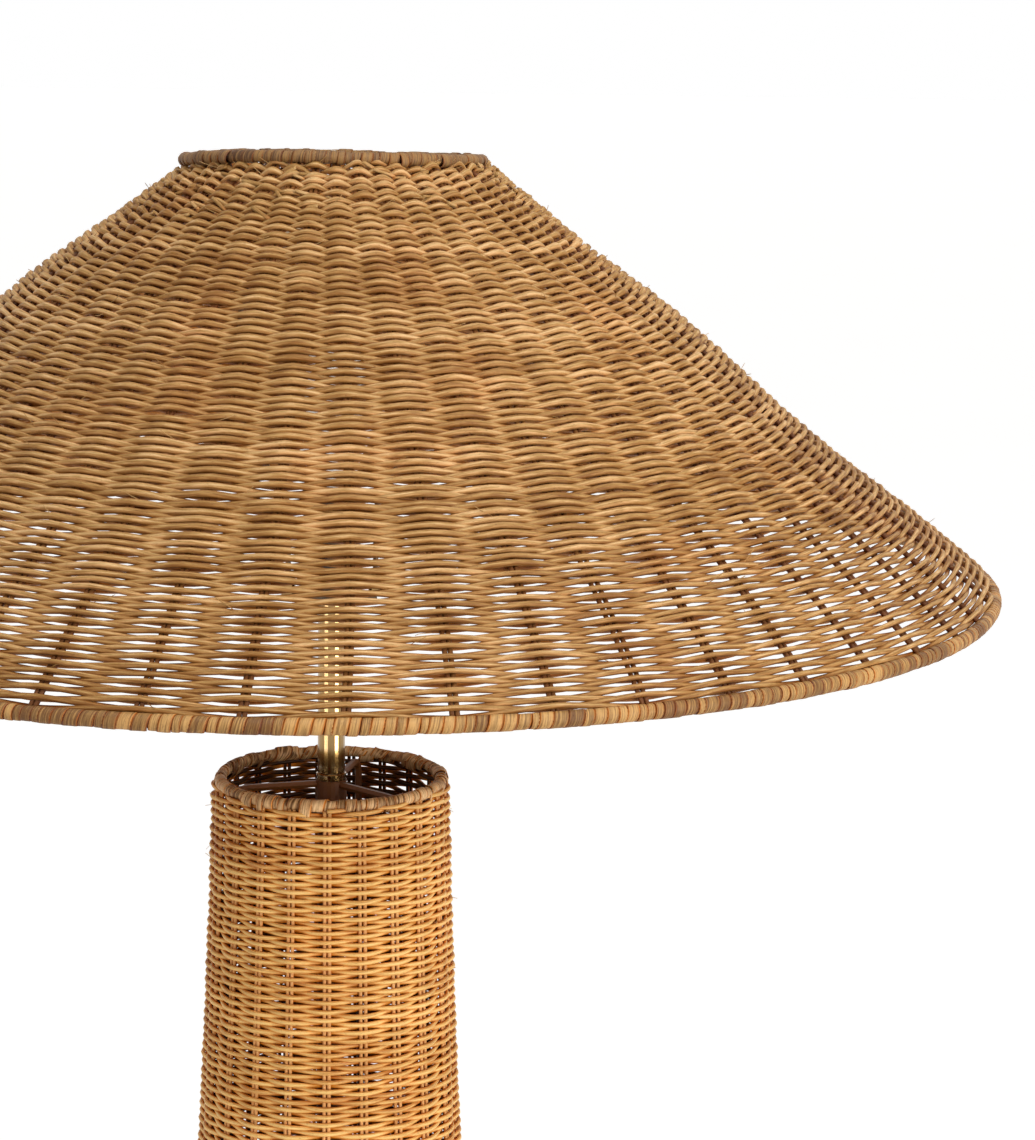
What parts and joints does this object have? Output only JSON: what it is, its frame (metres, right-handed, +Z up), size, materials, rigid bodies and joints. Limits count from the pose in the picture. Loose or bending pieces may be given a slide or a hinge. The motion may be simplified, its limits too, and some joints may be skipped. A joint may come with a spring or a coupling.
{
  "type": "floor lamp",
  "caption": "Floor lamp with a flared woven rattan column on a flat round base, a slim brass neck and a wide conical woven shade with an open top",
  "frame": {"origin": "on the floor, under the vertical axis of the column, at the centre of the felt's underside", "axes": "+Z up along the lamp's axis, -Y towards the front with the turn switch, +Y towards the cord gland, +X to the right seen from the front"},
  "size_m": [0.7576, 0.7572, 1.5193],
  "materials": {
    "shade_rattan": "round rattan core, natural tan, dry satin",
    "column_rattan": "round rattan core, honey stain, satin lacquer",
    "cane_wrap": "flat cane peel wound over a ring, dry",
    "brushed_brass": "brushed, lacquered",
    "brown_steel": "dark brown paint, satin",
    "zinc_steel": "zinc plated",
    "cast_base": "dark brown paint over a cast surface",
    "felt": "pressed felt",
    "gland_rubber": "matt",
    "liner_card": "pressed fibre",
    "dark_moulding": "moulded, satin",
    "bulb_metal": "rolled thread, bright",
    "bulb_glass": "frosted white"
  },
  "bodies": {
    "stand": {"base_felt": "felt", "base_plate": "cast_base", "base_washer": "zinc_steel", "base_nut": "zinc_steel", "cord_gland": "gland_rubber", "threaded_rod": "zinc_steel", "lower_tube": "brown_steel", "column_frame": "brown_steel", "foot_screw_1": "zinc_steel", "foot_screw_2": "zinc_steel", "foot_screw_3": "zinc_steel", "column_weave": "column_rattan", "column_top_rim": "cane_wrap", "column_bottom_rim": "cane_wrap", "neck_collar": "brushed_brass", "neck_tube": "brushed_brass", "harp_saddle": "brushed_brass", "socket_cap": "brushed_brass", "socket_shell": "brushed_brass", "socket_liner": "liner_card", "socket_core": "dark_moulding", "screw_shell": "brushed_brass", "centre_contact": "brushed_brass", "bulb_cap": "bulb_metal", "bulb_glass": "bulb_glass", "harp": "brushed_brass", "harp_stud": "brushed_brass"},
    "shade": {"shade_spider": "brushed_brass", "shade_weave": "shade_rattan", "shade_top_rim": "cane_wrap", "shade_bottom_rim": "cane_wrap"},
    "finial": {"finial": "brushed_brass"},
    "switch": {"switch_stem": "brushed_brass", "switch_knob": "dark_moulding"},
    "ferrule_left": {"harp_ferrule_left": "brushed_brass"},
    "ferrule_right": {"harp_ferrule_right": "brushed_brass"}
  },
  "joints": [
    {"name": "shade_swivel", "type": "hinge", "parent": "stand", "child": "shade", "pos_m": [0, 0, 1.4728], "axis": [0, 0, 1], "continuous": true},
    {"name": "finial_turn", "type": "hinge", "parent": "stand", "child": "finial", "pos_m": [0, 0, 1.48], "axis": [0, 0, 1], "continuous": true},
    {"name": "switch_turn", "type": "hinge", "parent": "stand", "child": "switch", "pos_m": [0, -0.03, 1.2885], "axis": [0, -1, 0], "continuous": true},
    {"name": "ferrule_left_lift", "type": "slide", "parent": "stand", "child": "ferrule_left", "axis": [0, 0, 1], "range_m": [0, 0.016]},
    {"name": "ferrule_right_lift", "type": "slide", "parent": "stand", "child": "ferrule_right", "axis": [0, 0, 1], "range_m": [0, 0.016]}
  ]
}
